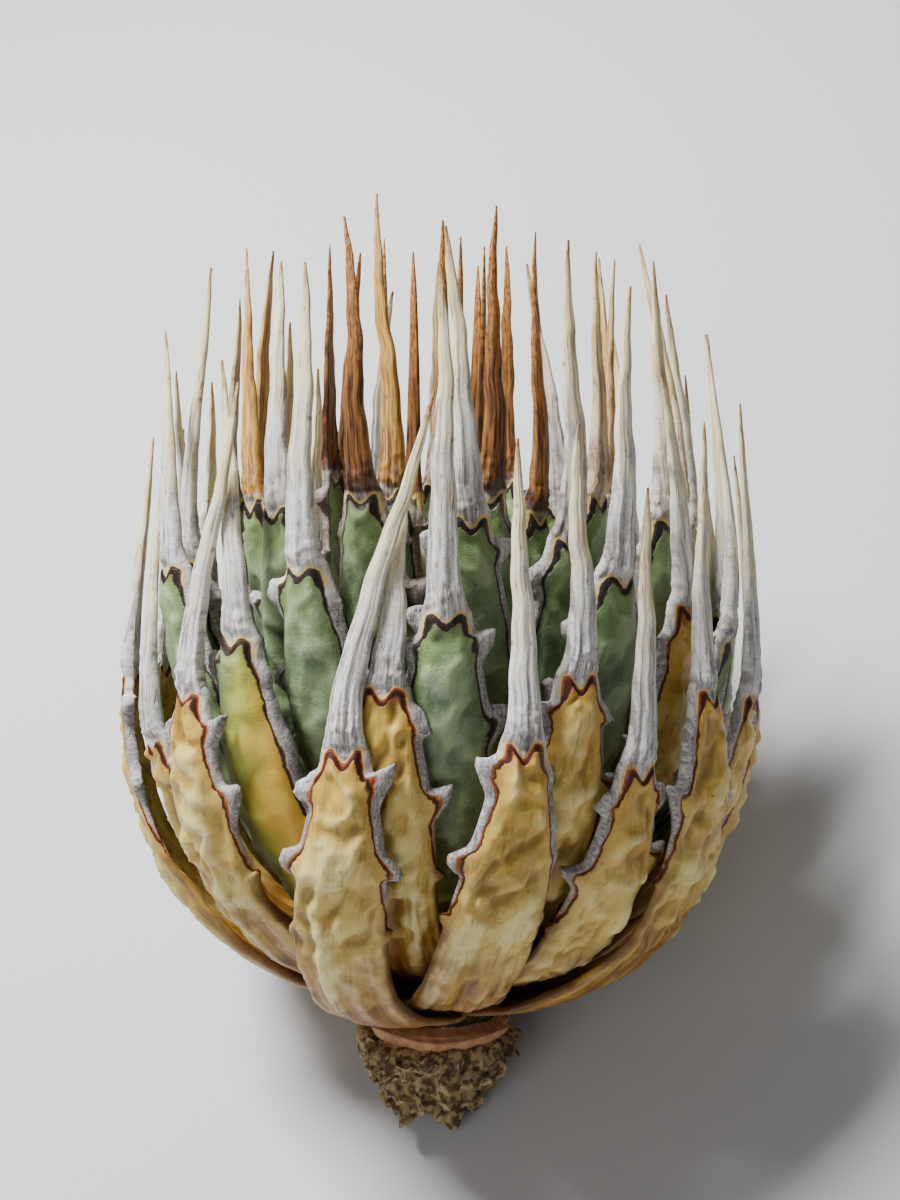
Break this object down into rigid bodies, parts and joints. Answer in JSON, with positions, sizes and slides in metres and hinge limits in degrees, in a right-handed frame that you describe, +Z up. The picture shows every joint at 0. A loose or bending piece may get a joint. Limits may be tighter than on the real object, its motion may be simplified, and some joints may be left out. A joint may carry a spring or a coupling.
{
  "type": "utah agave plant",
  "caption": "Bare-rooted agave: a globe of stiff leaves with long horny spines and toothed grey margins, straw-dry below and green within, on a short root stub, lying on its back.",
  "frame": {"origin": "middle of the plant's footprint, on the surface that it lies on", "axes": "+Z up; the pictured side of the plant faces -Y; the plant's own axis leans 43 degrees back from +Z, towards +Y, and 11 degrees to the side"},
  "size_m": [0.1126, 0.1298, 0.1298],
  "materials": {
    "dry_leaf": "dry wrinkled straw-coloured blade, grey-white horn, rust line under the spine",
    "turning_leaf": "soft satin blade, green going yellow, grey-white horn",
    "green_leaf": "soft matt grey-green blade, grey-white horn, dark line under the spine",
    "bud": "young leaves with brown to rust spines",
    "stem": "rough fibrous root stub with dried sheaths and soil"
  },
  "bodies": {
    "root": {"leaf_01": "dry_leaf", "leaf_02": "dry_leaf", "leaf_03": "dry_leaf", "leaf_04": "dry_leaf", "leaf_05": "dry_leaf", "leaf_06": "dry_leaf", "leaf_07": "dry_leaf", "leaf_08": "dry_leaf", "leaf_09": "dry_leaf", "leaf_10": "dry_leaf", "leaf_11": "dry_leaf", "leaf_12": "dry_leaf", "leaf_13": "dry_leaf", "leaf_14": "dry_leaf", "leaf_15": "dry_leaf", "leaf_16": "dry_leaf", "leaf_17": "dry_leaf", "leaf_18": "dry_leaf", "leaf_19": "dry_leaf", "leaf_20": "dry_leaf", "leaf_21": "dry_leaf", "leaf_22": "green_leaf", "leaf_23": "green_leaf", "leaf_24": "turning_leaf", "leaf_25": "green_leaf", "leaf_26": "dry_leaf", "leaf_28": "green_leaf", "leaf_29": "green_leaf", "leaf_30": "green_leaf", "leaf_31": "green_leaf", "leaf_32": "green_leaf", "leaf_33": "green_leaf", "leaf_34": "green_leaf", "leaf_35": "green_leaf", "leaf_36": "green_leaf", "leaf_37": "green_leaf", "leaf_38": "green_leaf", "leaf_39": "green_leaf", "leaf_40": "green_leaf", "leaf_41": "green_leaf", "leaf_42": "green_leaf", "leaf_43": "green_leaf", "leaf_44": "green_leaf", "leaf_45": "green_leaf", "leaf_46": "green_leaf", "leaf_47": "green_leaf", "leaf_48": "green_leaf", "leaf_49": "green_leaf", "leaf_50": "green_leaf", "leaf_51": "green_leaf", "leaf_52": "green_leaf", "leaf_53": "green_leaf", "leaf_54": "green_leaf", "leaf_55": "green_leaf", "leaf_56": "green_leaf", "leaf_57": "green_leaf", "leaf_58": "green_leaf", "leaf_60": "green_leaf", "bud": "bud", "stem": "stem"}
  },
  "joints": []
}
